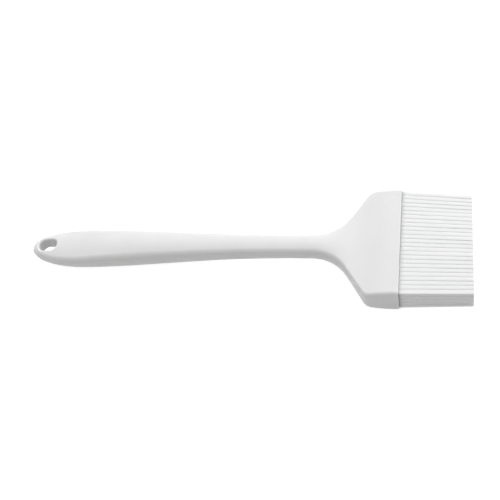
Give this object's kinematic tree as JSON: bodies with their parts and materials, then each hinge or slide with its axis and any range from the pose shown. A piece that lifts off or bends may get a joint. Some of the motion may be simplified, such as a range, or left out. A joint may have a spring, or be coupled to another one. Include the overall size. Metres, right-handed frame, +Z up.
{
  "type": "pastry brush",
  "caption": "Flat silicone pastry brush with a soft oval handle, hanging hole and a wide flared head holding a block of flexible bristles.",
  "frame": {"origin": "under the middle of the brush, on the surface it lies on", "axes": "+X along the brush from the hanging hole to the bristle tips, +Y across the head, +Z up through its thickness"},
  "size_m": [0.252, 0.07, 0.0156],
  "materials": {
    "silicone": "smooth satin moulded silicone",
    "bristle_silicone": "smooth satin moulded silicone, slightly translucent",
    "nylon": "plain moulded, hidden inside"
  },
  "bodies": {
    "handle": {"handle_skin": "silicone", "head_skin": "silicone", "handle_core": "nylon", "bristle_base": "bristle_silicone"},
    "bristle_row_1": {"bristle_row_1": "bristle_silicone"},
    "bristle_row_2": {"bristle_row_2": "bristle_silicone"},
    "bristle_row_3": {"bristle_row_3": "bristle_silicone"},
    "bristle_row_4": {"bristle_row_4": "bristle_silicone"},
    "bristle_row_5": {"bristle_row_5": "bristle_silicone"}
  },
  "joints": [
    {"name": "row_1_flex", "type": "hinge", "parent": "handle", "child": "bristle_row_1", "pos_m": [0.0886, 0, 0.0022], "axis": [0, 1, 0], "range_deg": [-25, 25], "stiffness_Nm_per_rad": 0.05},
    {"name": "row_2_flex", "type": "hinge", "parent": "handle", "child": "bristle_row_2", "pos_m": [0.0886, 0, 0.005], "axis": [0, 1, 0], "range_deg": [-25, 25], "stiffness_Nm_per_rad": 0.05},
    {"name": "row_3_flex", "type": "hinge", "parent": "handle", "child": "bristle_row_3", "pos_m": [0.0886, 0, 0.0078], "axis": [0, 1, 0], "range_deg": [-25, 25], "stiffness_Nm_per_rad": 0.05},
    {"name": "row_4_flex", "type": "hinge", "parent": "handle", "child": "bristle_row_4", "pos_m": [0.0886, 0, 0.0106], "axis": [0, 1, 0], "range_deg": [-25, 25], "stiffness_Nm_per_rad": 0.05},
    {"name": "row_5_flex", "type": "hinge", "parent": "handle", "child": "bristle_row_5", "pos_m": [0.0886, 0, 0.0134], "axis": [0, 1, 0], "range_deg": [-25, 25], "stiffness_Nm_per_rad": 0.05}
  ],
  "couplings": [
    {"joint": "row_2_flex", "follows": "row_1_flex", "ratio": 1},
    {"joint": "row_3_flex", "follows": "row_1_flex", "ratio": 1},
    {"joint": "row_4_flex", "follows": "row_1_flex", "ratio": 1},
    {"joint": "row_5_flex", "follows": "row_1_flex", "ratio": 1}
  ]
}
